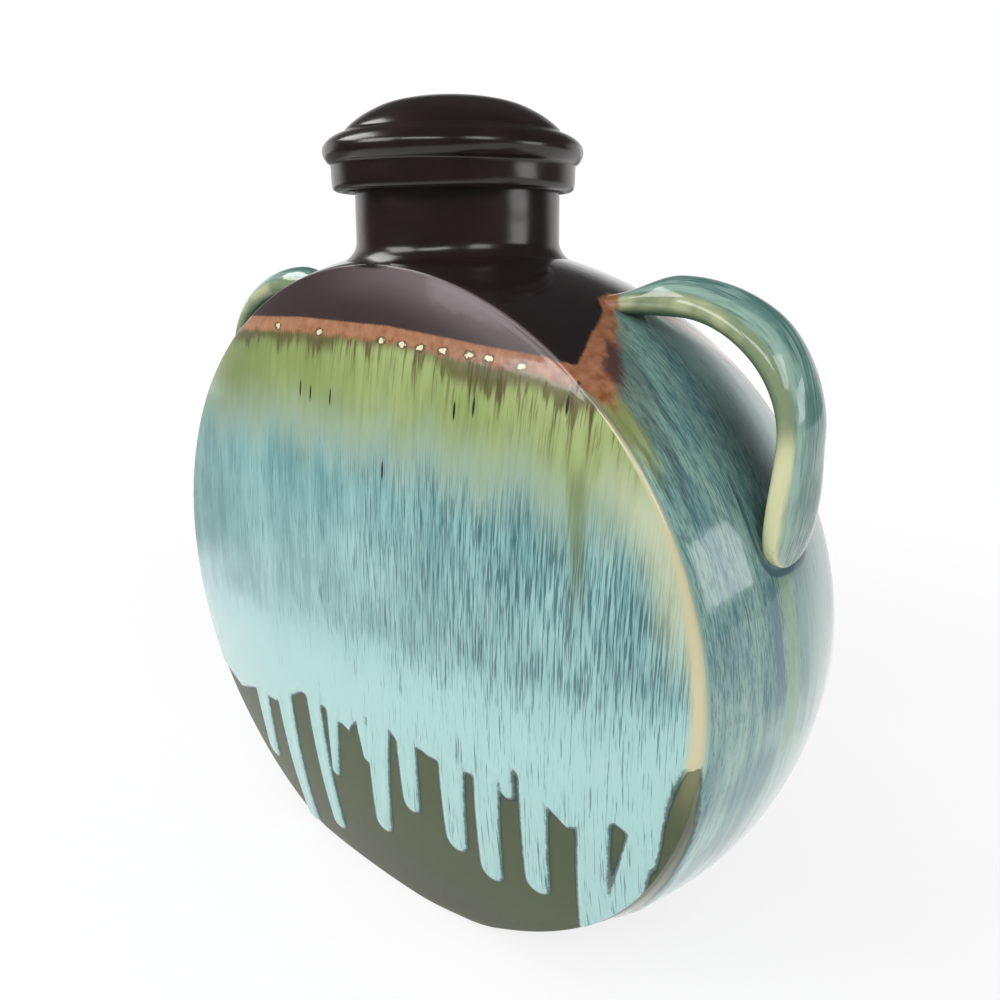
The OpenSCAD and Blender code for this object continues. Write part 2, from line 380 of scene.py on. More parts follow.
class Wire:
    """A socket of a glaze's recipe. Sums, products and other sums on wires add Math nodes."""

    def __init__(self, recipe, socket):
        self.recipe = recipe
        self.socket = socket

    def sum(self, operation, *terms, clamp=False):
        settings = {"operation": operation, "use_clamp": clamp}
        return self.recipe.add("ShaderNodeMath", settings, dict(enumerate(terms)))

    def __add__(self, other):
        return self.sum("ADD", self, other)

    def __radd__(self, other):
        return self.sum("ADD", other, self)

    def __sub__(self, other):
        return self.sum("SUBTRACT", self, other)

    def __rsub__(self, other):
        return self.sum("SUBTRACT", other, self)

    def __mul__(self, other):
        return self.sum("MULTIPLY", self, other)

    def __rmul__(self, other):
        return self.sum("MULTIPLY", other, self)

    def __truediv__(self, other):
        return self.sum("DIVIDE", self, other)

    def __abs__(self):
        return self.sum("ABSOLUTE", self)

    def __pow__(self, other):
        return self.sum("POWER", self, other)

    def least(self, other):
        return self.sum("MINIMUM", self, other)

    def most(self, other):
        return self.sum("MAXIMUM", self, other)


class Recipe:
    """The nodes of one material, or of the world, mixed from wires."""

    def __init__(self, owner):
        owner.use_nodes = True
        self.owner = owner
        self.tree = owner.node_tree
        self.tree.nodes.clear()

    def add(self, kind, settings, sockets, output=0):
        """Adds a node of a kind, with its settings first and then its sockets' values or wires."""
        node = self.tree.nodes.new(kind)
        for name, value in settings.items():
            setattr(node, name, value)
        for name, value in sockets.items():
            if isinstance(value, Wire):
                self.tree.links.new(value.socket, node.inputs[name])
            else:
                node.inputs[name].default_value = value
        return None if output is None else Wire(self, node.outputs[output])

    def place(self):
        """The place on the object in mm, as three wires."""
        spot = self.add("ShaderNodeTexCoord", {}, {}, "Object")
        return [
            self.add("ShaderNodeSeparateXYZ", {}, {0: spot}, axis) / mm
            for axis in range(3)
        ]

    def kept(self, name):
        """A number kept on the points of the piece."""
        return self.add("ShaderNodeAttribute", {"attribute_name": name}, {}, "Fac")

    def step(self, value, low, high):
        """Smooth step from 0 to 1 as the value goes from low to high, or back where high is lower."""
        flip = high < low
        ends = {1: min(low, high), 2: max(low, high), 3: 1.0 if flip else 0.0, 4: 0.0 if flip else 1.0}
        return self.add("ShaderNodeMapRange", {"interpolation_type": "SMOOTHSTEP"}, {0: value, **ends})

    def grain(self, across, along, depth=0.0, detail=3.0, rough=0.55, seed=0.0):
        """Noise from 0 to 1 on a place whose parts are given in sizes of one grain."""
        spot = self.add("ShaderNodeCombineXYZ", {}, {0: across, 1: along, 2: depth})
        settings = {"noise_dimensions": "4D"}
        sockets = {"Vector": spot, "W": seed, "Scale": 1.0, "Detail": detail, "Roughness": rough}
        return self.add("ShaderNodeTexNoise", settings, sockets, "Fac")

    def blend(self, first, second, share):
        """Mixes two colours."""
        settings = {"data_type": "RGBA", "blend_type": "MIX"}
        return self.add("ShaderNodeMix", settings, {0: share, 6: first, 7: second}, 2)

    def bump(self, height, distance, strength=1.0):
        return self.add("ShaderNodeBump", {}, {"Strength": strength, "Distance": distance, "Height": height})

    def surface(self, **sockets):
        """Ends the recipe in one glazed surface."""
        named = {name.replace("_", " "): value for name, value in sockets.items()}
        shader = self.add("ShaderNodeBsdfPrincipled", {}, named)
        self.add("ShaderNodeOutputMaterial", {}, {"Surface": shader}, None)
        return self.owner


def paint(red, green, blue):
    """A colour as it is seen, from 0 to 255, as the shader's own linear colour."""
    return tuple(((part / 255 + 0.055) / 1.055) ** 2.4 for part in (red, green, blue)) + (1.0,)


dark_slip = paint(50, 36, 37)
dark_slip_grey = paint(64, 50, 52)
# Painted sheen: a lilac grey laid on the slip near the top of the rim, in place of a reflection
painted_slip_sheen = paint(118, 106, 110)
shoulder_black = paint(24, 17, 19)
copper = paint(146, 96, 66)
copper_pale = paint(170, 124, 92)
rust = paint(118, 64, 36)
umber = paint(78, 62, 34)
plum = paint(78, 54, 50)
leaf_green = paint(130, 148, 86)
pale_green = paint(156, 170, 112)
moss_green = paint(96, 112, 60)
smoke_green = paint(146, 168, 150)
# Painted sheen: a pale cream laid just inside the rim on the right-hand side, in place of a reflection
painted_glaze_sheen = paint(198, 202, 166)
aqua = paint(138, 184, 184)
mint = paint(160, 202, 198)
teal = paint(92, 140, 144)
deep_teal = paint(36, 80, 84)
band_sage = paint(118, 154, 146)
band_pale = paint(158, 188, 180)
band_teal = paint(78, 126, 134)
# Painted shade: the dark laid on the band behind each handle
band_strap_shade = paint(44, 74, 78)
band_deep = paint(58, 106, 118)
run_blue = paint(60, 100, 112)
crease_blue = paint(36, 74, 86)
run_green = paint(116, 152, 116)
cream = paint(192, 186, 150)
bubble = paint(216, 208, 172)
olive = paint(72, 82, 56)
olive_brown = paint(72, 72, 56)
khaki = paint(160, 156, 116)
inkline = paint(30, 58, 58)
fleck_black = paint(30, 36, 28)

# Small faults in the glaze of a disc, given along its width and height: pale pinholes and black flecks
pinholes = [
    (-48, 199.2), (-22, 198.9), (10, 198.3), (19.5, 197.8), (27, 197.4), (36, 197.3), (46, 196.8),
    (53, 196.3), (64, 195.2),
]
flecks = [(-30, 180), (-24, 179), (-13, 179), (14, 159.5), (43, 181), (50, 183), (80, 186.5), (82, 192)]
fleck_stretch = 6


def nearest(recipe, across, along, spots):
    """Distance in mm to the nearest of some spots."""
    place = recipe.add("ShaderNodeCombineXYZ", {}, {0: across, 1: along})
    least = None
    for spot in spots:
        sockets = {0: place, 1: (*spot, 0)}
        gap = recipe.add("ShaderNodeVectorMath", {"operation": "DISTANCE"}, sockets, "Value")
        least = gap if least is None else least.least(gap)
    return least


def mix_body_glaze(name):
    """The body's finish: dark slip, copper line, green, streaked teal and mint, drips and olive slip."""
    glaze = Recipe(bpy.data.materials.new(name))
    x, y, z = glaze.place()
    below = glaze.kept("below_line")
    edge = glaze.kept("glaze_edge")
    to_rim = glaze.kept("to_rim")
    on_face = glaze.kept("on_face")
    on_band = 1 - on_face
    from_middle = abs(y)
    across_disc = x * y.sum("SIGN", y) * -1

    across = y + (x - y) * on_face
    side = glaze.add("ShaderNodeMath", {"operation": "ARCTAN2"}, {0: z - middle_z / mm, 1: x}) * 126.0
    along = side + (z - side) * on_face

    broad = glaze.grain(across / 10, along / 60, y / 60, detail=2.0)
    run = glaze.grain(across / 2.6, along / 26, on_face * 7, detail=3.0, seed=2.0)
    hair_along = along * (0.05 + on_band * 0.06)
    fine_along = along * (0.085 + on_band * 0.16)
    hair = glaze.grain(across / 0.75, hair_along, on_face * 5, detail=3.0, rough=0.6, seed=5.0)
    fine = glaze.grain(across / 0.42, fine_along, on_face * 3, detail=2.0, rough=0.6, seed=9.0)
    cloud = glaze.grain(x / 30, z / 30, y / 30, detail=2.0, seed=4.0)

    # Streaked glaze, darker in the middle heights and paler towards the drips
    paler = glaze.step(z + (cloud - 0.5) * 20 + (broad - 0.5) * 14 - across_disc * 0.1, 106, 80)
    light = cloud * 0.35 + broad * 0.35 + run * 0.3 + paler * 0.3
    base = glaze.blend(teal, aqua, glaze.step(light, 0.38, 0.62))
    base = glaze.blend(base, mint, paler * 0.8)
    band_base = glaze.blend(band_sage, band_pale, glaze.step(z + (broad - 0.5) * 50, 135, 75))
    band_base = glaze.blend(band_base, band_teal, glaze.step(run * 0.6 + broad * 0.4, 0.47, 0.6) * 0.6)
    # Painted shade: the band is darkened in a strip behind each handle, from its bend down to its lower end
    shade_behind_strap = glaze.step(from_middle + (run - 0.5) * 10, 19, 5) * glaze.step(z, 126, 150)
    band_base = glaze.blend(band_base, band_strap_shade, shade_behind_strap * glaze.step(z, 196, 178) * 0.75)
    band_base = glaze.blend(band_base, band_deep, glaze.step(cloud + broad, 1.02, 1.25) * 0.5)
    base = glaze.blend(base, band_base, on_band)
    crowded = glaze.step(across_disc + (cloud - 0.5) * 120, -70, 60) * 0.065 - paler * 0.05
    lines = glaze.step(hair * 0.4 + fine * 0.45 + run * 0.15 + crowded, 0.545, 0.615)
    streaked = glaze.blend(base, deep_teal, lines * (0.8 - on_band * 0.28))
    bright = glaze.step(hair * 0.3 + fine * 0.7 - crowded * 0.4, 0.46, 0.38)
    streaked = glaze.blend(streaked, mint, bright * 0.42 * (1 - on_band * 0.6))

    # Green where the glaze is thin, under the line on the discs, and beside the rim on the band
    green_reach = below - (run - 0.5) * 8 - (broad - 0.5) * 16 + on_band * 60
    leaf = glaze.blend(pale_green, leaf_green, glaze.step(run * 0.4 + cloud * 0.6, 0.36, 0.62))
    leaf = glaze.blend(leaf, moss_green, glaze.step(hair * 0.5 + run * 0.5, 0.54, 0.74) * 0.5)
    leaf = glaze.blend(leaf, moss_green, glaze.step(across_disc + (run - 0.5) * 40, -30, -95) * 0.6)
    smoky = glaze.blend(smoke_green, streaked, glaze.step(green_reach, 30, 52) * 0.9 + lines * 0.1)
    flow = glaze.blend(leaf, smoky, glaze.step(green_reach, 17, 40))
    beside_rim = glaze.step(from_middle + (run - 0.5) * 4, 30, 33) * glaze.step(below, 32, 14) * on_band
    flow = glaze.blend(flow, leaf, beside_rim)
    trickle = glaze.step(hair * 0.7 + run * 0.3, 0.51, 0.57) * on_face
    flow = glaze.blend(flow, umber, trickle * glaze.step(below - across_disc * 0.1, 22, 3) * 0.7)
    under_strap = on_band * glaze.step(x, 60, 90) * glaze.step(z, 144, 140)
    blue_run = glaze.step(abs(y + 11 + (broad - 0.5) * 3), 2.2, 1.0) * glaze.step(z, 100, 118)
    green_run = glaze.step(abs(y + 4 + (broad - 0.5) * 3), 4.2, 2.6) * glaze.step(z, 84, 102)
    flow = glaze.blend(flow, run_blue, blue_run * under_strap * 0.8)
    flow = glaze.blend(flow, run_green, green_run * under_strap * 0.7)
    toe_reach = (from_middle / 13.3) ** 4 + ((161 - z).most(0) / 18.8) ** 4
    crease = glaze.step(abs(toe_reach - 1), 0.3, 0.1) * on_band * glaze.step(z, 172, 162)
    flow = glaze.blend(flow, crease_blue, crease * glaze.step(abs(x), 80, 100) * 0.85)
    # Painted sheen: a pale zone just inside the rim, on each disc's right-hand side as seen from its own side
    painted_glaze_sheen_share = glaze.step(to_rim + (run - 0.5) * 8, 15, 3) * on_face * glaze.step(across_disc, 30, 80)
    flow = glaze.blend(flow, painted_glaze_sheen, painted_glaze_sheen_share * glaze.step(z, 112, 140) * glaze.step(z, 180, 158) * 0.65)
    streak_middle = 85.5 + (170 - z) * 0.08
    off_streak = abs(across_disc - streak_middle + (hair - 0.5) * 7 + (run - 0.5) * 4)
    in_streak = glaze.step(off_streak, 4, 1) * on_face * glaze.step(z, 122, 152) * glaze.step(z, 174, 164)
    streak_tone = glaze.blend(umber, moss_green, glaze.step(z, 130, 145))
    flow = glaze.blend(flow, streak_tone, in_streak * 0.6)

    # Cream where it breaks over the rim
    rim_width = 0.8 + 2.8 * glaze.step(z, 175, 115)
    at_rim = (1 - glaze.step(to_rim / rim_width - (broad - 0.5) * 0.6, 0.6, 1.35)) * on_face
    on_right = 0.35 + 0.65 * glaze.step(across_disc, -70, 50)
    flow = glaze.blend(flow, cream, at_rim * on_right * glaze.step(z, 84, 97))

    # Copper line, broader and plum-coloured beside the handles
    wave = (glaze.grain(across / 5, along / 40, seed=7.0, detail=2.0) - 0.5) * 3
    copper_width = 4.4 + on_band * (glaze.step(from_middle, 12, 30) * 6.4 - 1.8)
    depth = (below + wave) / copper_width
    patches = glaze.grain(x / 3, z / 3, y / 3, seed=3.0)
    copper_tone = glaze.blend(copper_pale, copper, glaze.step(patches + x * 0.0015, 0.2, 0.7))
    copper_tone = glaze.blend(copper_tone, rust, glaze.step(patches + depth * 0.15 + x * 0.0012, 0.62, 0.95))
    plum_patch = glaze.step(depth + (patches - 0.5) * 0.6, 0.35, 0.6) * on_band
    plum_patch = plum_patch * glaze.step(from_middle, 18, 22) * glaze.step(from_middle, 31, 28)
    copper_tone = glaze.blend(copper_tone, plum, plum_patch)
    brown_run = glaze.step(run + x * 0.0006, 0.5, 0.7) * 1.4 + glaze.step(cloud + broad, 0.85, 1.3) * 0.9
    brown_run = brown_run + glaze.step(across_disc + (cloud - 0.5) * 60, 15, 60) * 0.7
    brown = glaze.step(depth + (hair - 0.5) * 1.2 - brown_run, 1.7, 0.7) * (1 - on_band * 0.5)
    flow = glaze.blend(flow, umber, brown * 0.75)
    flow = glaze.blend(copper_tone, flow, glaze.step(depth + (hair - 0.5) * 1.2, 0.85, 1.35))

    # Pinholes and flecks
    hole = nearest(glaze, across_disc / 1.8, z, [(a / 1.8, b) for a, b in pinholes])
    hole = hole + (glaze.grain(x / 1.3, z / 1.3, seed=15.0) - 0.5) * 2.2
    flow = glaze.blend(flow, umber, glaze.step(hole, 1.5, 1.0) * on_face * 0.9)
    flow = glaze.blend(flow, bubble, glaze.step(hole, 0.9, 0.6) * on_face)
    fleck = nearest(glaze, across_disc, z / fleck_stretch, [(a, b / fleck_stretch) for a, b in flecks])
    flow = glaze.blend(flow, fleck_black, glaze.step(fleck, 0.6, 0.3) * on_face)

    # Bare slip above the line and below the drips
    sheen = glaze.blend(dark_slip, dark_slip_grey, glaze.step(cloud, 0.3, 0.8) * 0.5)
    # Painted sheen: the slip is made paler near the rim, from the middle towards the right, in place of a
    # reflection
    painted_slip_sheen_share = glaze.step(to_rim + (cloud - 0.5) * 8, 16, 2) * glaze.step(across_disc, -40, 20) * on_face
    sheen = glaze.blend(sheen, painted_slip_sheen, painted_slip_sheen_share * 0.45)
    sheen = glaze.blend(sheen, shoulder_black, on_band * 0.85)
    lower = glaze.blend(olive, olive_brown, glaze.step(z + cloud * 30, 46, 14))
    lower = glaze.blend(lower, khaki, glaze.step(z, 76, 98) * glaze.step(to_rim, 7, 2) * 0.4)
    edge = edge + (glaze.grain(across / 2.2, z / 2.2, on_face * 9, detail=2.0, seed=12.0) - 0.5) * 1.1
    glazed = glaze.step(below + (fine - 0.5) * 1.2, -0.4, 0.4)
    colour = glaze.blend(sheen, flow, glazed)
    colour = glaze.blend(colour, lower, glaze.step(edge, -0.15, 0.15))
    outline = (1 - glaze.step(abs(edge + 0.1), 0.25, 0.95)) * glaze.step(below, 20, 40)
    colour = glaze.blend(colour, inkline, outline * 0.85 * (1 - at_rim * glaze.step(z, 80, 92)))

    shiny = glazed * glaze.step(edge, 0.3, -0.3)
    coat = 0.25 * glaze.step(edge, 0.3, -0.3) + 0.75 * shiny.most(on_band)
    tiny = glaze.grain(x / 7, z / 7, y / 7, detail=2.0, seed=11.0)
    relief = glaze.bump(tiny * 0.5 + hair * 0.04, 0.25 * mm, 0.6)
    satin = {"Roughness": 0.36, "Specular_IOR_Level": 0.3, "Coat_Roughness": 0.09, "Coat_IOR": 1.5}
    return glaze.surface(Base_Color=colour, Coat_Weight=coat, Normal=relief, Coat_Normal=relief, **satin)


body_glaze = mix_body_glaze("body_glaze")

for name, node, side in (("disc_front", "front_face", -1), ("disc_back", "back_face", 1)):
    disc = turn_body_section(name, disc_section(side))
    settle_foot(disc)
    trim(disc, foot_t, keep_above=True)
    lay_body_glaze(disc)
    finish_piece(disc, body_glaze, node)


# Band
# A strip of clay bent round and luted between the discs. It bulges a little and has the neck's hole
# at its top. It carries the same glaze, which runs down it in finer streaks.
bore_r = 28 * mm


def band_section():
    """Section of the band from the front seam to the back seam and back along its inside."""
    depths = [-seam_y, -seam_y + 0.1 * mm]
    depths += spread(-seam_y + 1 * mm, seam_y - 1 * mm, 1 * mm)
    depths += [seam_y - 0.1 * mm, seam_y]
    outer = [(band_radius(y), y) for y in depths]
    inner = [(band_radius(y) - band_wall, y) for y in spread(seam_y, -seam_y, 8 * mm)]
    return outer + inner


def cut_mouth(piece):
    """Cuts the neck's bore through the top of the band."""
    bpy.ops.object.select_all(action="DESELECT")
    bpy.ops.mesh.primitive_cylinder_add(
        vertices=180, radius=bore_r, depth=80 * mm, location=(0, 0, middle_z + 120 * mm)
    )
    cutter = bpy.context.object
    bpy.ops.object.select_all(action="DESELECT")
    bpy.context.view_layer.objects.active = piece
    piece.select_set(True)
    bpy.ops.object.modifier_add(type="BOOLEAN")
    cut = piece.modifiers[-1]
    cut.operation = "DIFFERENCE"
    cut.solver = "MANIFOLD"
    cut.object = cutter
    bpy.ops.object.modifier_apply(modifier=cut.name)
    bpy.data.objects.remove(cutter)


band = turn_body_section("band", band_section())
settle_foot(band)
trim(band, foot_t, keep_above=True)
cut_mouth(band)
lay_body_glaze(band)
finish_piece(band, body_glaze, "side_band")


# Foot
# The bottom of the body is pressed flat and closed with a slab. It shows as a narrow strip of
# olive slip under the drips.
foot_slice_in = 96 * mm


def half_section(side):
    """Rim and dome of one side as far in as the foot's slice reaches, then level to the axis."""
    radii = spread(rim_half_w - 2.2 * mm, foot_slice_in, 1.4 * mm)
    return rim_curve(side) + [(r, side * dome_y(r)) for r in radii] + [(0, side * dome_y(foot_slice_in))]


def whole_section():
    """Section of the whole body, solid to the axis, for the slice that the foot is cut from."""
    depths = spread(rim_y - 1.6 * mm, -rim_y + 1.6 * mm, 1.2 * mm)
    return [(band_radius(y), y) for y in depths] + half_section(-1) + half_section(1)[::-1]


foot = turn_body_section("foot", whole_section())
settle_foot(foot)
trim(foot, foot_t, keep_above=False)
lay_body_glaze(foot)
finish_piece(foot, body_glaze, "base_slab")


# Neck
# A thrown collar luted over the hole in the band, with a soft hollow where it meets the shoulder
# and a rounded rim. It is left in the dark slip.
neck_r = 33.4 * mm
neck_low_r = 33.8 * mm
neck_wall = 5.4 * mm
neck_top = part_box("neck")[1].z
neck_hollow = 5 * mm
neck_rim_round = 1.4 * mm
neck_follow = 9 * mm
neck_sink = 0.25 * mm
neck_steps = 256
shoulder_top = middle_z + (rim_half_w + band_bulge) * oval


def turn_upright_section(name, section, steps):
    """Turns a closed section of radius and height about the neck's axis."""
    return turn_section(name, [(radius, 0, height) for radius, height in section], (0, 0, 0), "Z", steps)


def neck_section():
    """Section of the neck, as if the shoulder under it were level."""
    hollow = []
    for i in range(9):
        turn = math.pi / 2 * i / 8
        hollow.append((
            neck_low_r + neck_hollow * (1 - math.sin(turn)),
            shoulder_top + neck_hollow * (1 - math.cos(turn)),
        ))
    wall_from = shoulder_top + neck_hollow + 1.5 * mm
    wall_to = neck_top - neck_rim_round
    wall = [
        (neck_low_r + (neck_r - neck_low_r) * i / 10, wall_from + (wall_to - wall_from) * i / 10)
        for i in range(11)
    ]
    rim = []
    for outer in (True, False):
        for i in range(7):
            turn = math.pi / 2 * (i / 6 if outer else 1 - i / 6)
            reach = neck_rim_round * math.cos(turn)
            height = wall_to + neck_rim_round * math.sin(turn)
            if outer:
                rim.append((neck_r - neck_rim_round + reach, height))
            else:
                rim.append((neck_r - neck_wall + neck_rim_round - reach, height))
    inside = [(neck_r - neck_wall, height) for height in spread(wall_to - 2 * mm, shoulder_top, 6 * mm)]
    return hollow + wall[1:] + rim[1:] + inside


def seat_on_shoulder(piece):
    """Lowers the foot of the neck on to the curve of the shoulder, with the clay's own waver."""
    points = read_points(piece)
    x, y, z = points.T
    under = middle_z + oval * np.sqrt(band_radius(y) ** 2 - x ** 2) - bare_depth - neck_sink
    share = ease(1 - (z - shoulder_top - neck_hollow) / neck_follow)
    waver = np.array([noise.noise(Vector(p) / clay_waver_size) for p in points]) * clay_waver
    points[:, 2] += (under - shoulder_top + waver) * share
    write_points(piece, points)


def mix_dark_slip(name):
    """Near-black glossy slip with a brown cast, a little uneven, with a few grey pinholes."""
    slip = Recipe(bpy.data.materials.new(name))
    x, y, z = slip.place()
    cloud = slip.grain(x / 22, z / 22, y / 22, detail=3.0, seed=1.0)
    speck = slip.grain(x / 1.6, z / 1.6, y / 1.6, detail=1.0, seed=2.0)
    colour = slip.blend(black_slip, black_slip_brown, slip.step(cloud, 0.4, 0.75) * 0.6)
    colour = slip.blend(colour, speck_grey, slip.step(speck, 0.8, 0.85) * 0.4)
    orange_peel = slip.grain(x / 2.4, z / 2.4, y / 2.4, detail=2.0, seed=3.0)
    waves = slip.grain(x / 16, z / 7, y / 16, detail=1.0, seed=6.0)
    relief = slip.bump(orange_peel * 0.05 + waves * 0.9, 0.5 * mm, 0.6)
    return slip.surface(Base_Color=colour, Roughness=0.15 + cloud * 0.1, Normal=relief)


black_slip = paint(30, 23, 21)
black_slip_brown = paint(42, 31, 28)
speck_grey = paint(120, 112, 104)
dark_slip_finish = mix_dark_slip("dark_slip")

neck = turn_upright_section("neck_collar", neck_section(), neck_steps)
seat_on_shoulder(neck)
finish_piece(neck, dark_slip_finish, "neck")


# Handles
# Each handle is a pulled strap, luted to the shoulder beside the neck, bent over and pressed down on
# the band with a thumb. Its outer side is arched and streaked teal, its edges and its inner side are
# pale green where the glaze ran off, and the inner side is darkened with painted shade.
strap_half_w = 10.5 * mm
strap_root_half_w = 6.75 * mm
strap_half_t = 3.8 * mm
strap_arch = 3.8 * mm
strap_root_x = 69 * mm
strap_crown_x = 88 * mm
strap_crown_rise = 1.8 * mm
strap_low_z = middle_z + 41.5 * mm
strap_bow = 1.8 * mm
strap_bow_rise = 30 * mm
strap_sink = 3 * mm
strap_toe_from = 161 * mm
strap_toe = 18 * mm
strap_toe_bluntness = 4.2
strap_flare = 2 * mm
strap_flare_from = 178 * mm
strap_squareness = 2.7
strap_around = 64
strap_root_steps = 16
strap_bend_steps = 46
strap_toe_steps = 24
strap_waver = 0.25 * mm
strap_waver_size = 18 * mm


def ring_height(x):
    """Height of the middle of the band at a distance from the neck's axis."""
    ring = rim_half_w + band_bulge
    return middle_z + ring * oval * math.sqrt(1 - (x / ring) ** 2)


def ring_reach(z):
    """How far out the middle of the band is at a height."""
    ring = rim_half_w + band_bulge
    return ring * math.sqrt(1 - ((z - middle_z) / (ring * oval)) ** 2)


def flare(z):
    """How much wider the strap is pressed on either side near its lower end."""
    return strap_flare * float(ease((strap_flare_from - z) / (18 * mm)))


def strap_rings(wider, lower):
    """Rings along the right-hand strap: the middle's place, half width, thickness inside and outside.

    The bend may reach a little wider and the crown a little lower than planned."""
    crown_z = ring_height(strap_root_x) + strap_crown_rise
    reach_x = ring_reach(strap_low_z) + strap_bow
    reach_z = strap_low_z + strap_bow_rise
    stations = []
    for i in range(strap_root_steps):
        u = 1 - i / strap_root_steps
        x = strap_crown_x - (strap_crown_x - strap_root_x) * u
        stations.append((x, crown_z - strap_crown_rise * u * u))
    for i in range(strap_bend_steps + 1):
        turn = math.pi / 2 * (1 - i / strap_bend_steps)
        x = strap_crown_x + (reach_x - strap_crown_x) * math.cos(turn)
        stations.append((x, reach_z + (crown_z - reach_z) * math.sin(turn)))
    for z in spread(reach_z, strap_toe_from, 1 * mm)[1:]:
        u = (reach_z - z) / strap_bow_rise
        stations.append((reach_x - strap_bow * u * u, z))

    push = (Vector(stations[1]) - Vector(stations[0])).normalized() * strap_sink
    stations.insert(0, tuple(Vector(stations[0]) - push))
    rings = []
    for i, (x, z) in enumerate(stations):
        rise = float(ease((i - 1) / strap_root_steps))
        fall = float(ease(2 * (i - strap_root_steps) / strap_bend_steps - 0.9))
        widen = float(ease((i - 1) / (strap_root_steps + strap_bend_steps / 2)))
        thick = strap_half_t * (0.9 + 0.1 * rise)
        out = float(ease((x - strap_root_x) / (reach_x - strap_root_x)))
        out *= float(ease((z - strap_toe_from) / (10 * mm)))
        rings.append((
            x + wider * out,
            z - lower * rise * float(ease((z - reach_z) / (crown_z - reach_z))),
            strap_root_half_w + (strap_half_w - strap_root_half_w) * widen + flare(z),
            thick,
            thick + strap_arch * rise * (1 - fall * 0.85),
        ))
    toe_gap = stations[-1][0] - ring_reach(strap_toe_from)
    for i in range(1, strap_toe_steps + 1):
        gone = min(math.sin(math.pi / 2 * i / strap_toe_steps), 0.999)
        z = strap_toe_from - strap_toe * gone
        x = ring_reach(z) + toe_gap * (1 - gone) ** 1.6
        half_w = (strap_half_w + flare(z)) * math.sqrt(1 - gone ** strap_toe_bluntness)
        thick = (strap_half_t + strap_arch * 0.15) * (1 - gone ** 2) ** 0.8
        rings.append((x, z, half_w, strap_half_t, thick))
    return np.array(rings)


def wrap_strap(name, hand, wider, lower):
    """Wraps a sheet round the strap's middle line and closes its two ends."""
    rings = strap_rings(wider, lower)
    bpy.ops.object.select_all(action="DESELECT")
    bpy.ops.mesh.primitive_grid_add(x_subdivisions=strap_around, y_subdivisions=len(rings) - 1, size=1)
    piece = bpy.context.object
    piece.name = name
    sheet = read_points(piece)
    around = np.rint((sheet[:, 0] + 0.5) * strap_around) % strap_around
    ring = np.rint((sheet[:, 1] + 0.5) * (len(rings) - 1)).astype(int)
    middle = rings[:, :2]
    ahead = np.gradient(middle, axis=0)
    ahead /= np.linalg.norm(ahead, axis=1, keepdims=True)
    outer = np.stack([-ahead[:, 1], ahead[:, 0]], 1)[ring]
    turn = 2 * np.pi * around / strap_around
    across = np.sign(np.cos(turn)) * np.abs(np.cos(turn)) ** (2 / strap_squareness)
    out = np.sign(np.sin(turn)) * np.abs(np.sin(turn)) ** (2 / strap_squareness)
    half_w, inner_t, outer_t = rings[ring, 2], rings[ring, 3], rings[ring, 4]
    flat_t = np.minimum(outer_t, inner_t)
    height = np.where(out > 0, out * (flat_t + (outer_t - flat_t) * (1 - across ** 2)), out * inner_t)
    place = middle[ring] + outer * height[:, None]
    points = np.stack([place[:, 0], across * half_w, place[:, 1]], 1)
    waver = np.array([noise.noise(Vector(p) / strap_waver_size) for p in points]) * strap_waver
    waver = waver * ease(half_w / strap_half_w)
    points += np.stack([outer[:, 0], 0 * waver, outer[:, 1]], 1) * waver[:, None]
    points[:, 0] *= hand
    write_points(piece, points)
    gone = np.concatenate([[0], np.cumsum(np.linalg.norm(np.diff(middle, axis=0), axis=1))])
    add_values(piece, "strap_along", gone[ring] / mm)
    add_values(piece, "strap_across", across * half_w / mm)
    add_values(piece, "strap_out", out)
    bpy.ops.object.mode_set(mode="EDIT")
    bpy.ops.mesh.select_all(action="SELECT")
    bpy.ops.mesh.remove_doubles(threshold=0.004 * mm)
    bpy.ops.mesh.select_all(action="DESELECT")
    bpy.ops.mesh.select_non_manifold()
    bpy.ops.mesh.fill()
    bpy.ops.mesh.select_all(action="SELECT")
    bpy.ops.mesh.normals_make_consistent(inside=False)
    bpy.ops.object.mode_set(mode="OBJECT")
    return piece


strap_teal = paint(88, 124, 116)
strap_deep = paint(46, 80, 80)
strap_pale = paint(146, 174, 162)
strap_green = paint(122, 138, 108)
strap_cream = paint(200, 202, 160)
strap_moss = paint(66, 84, 52)


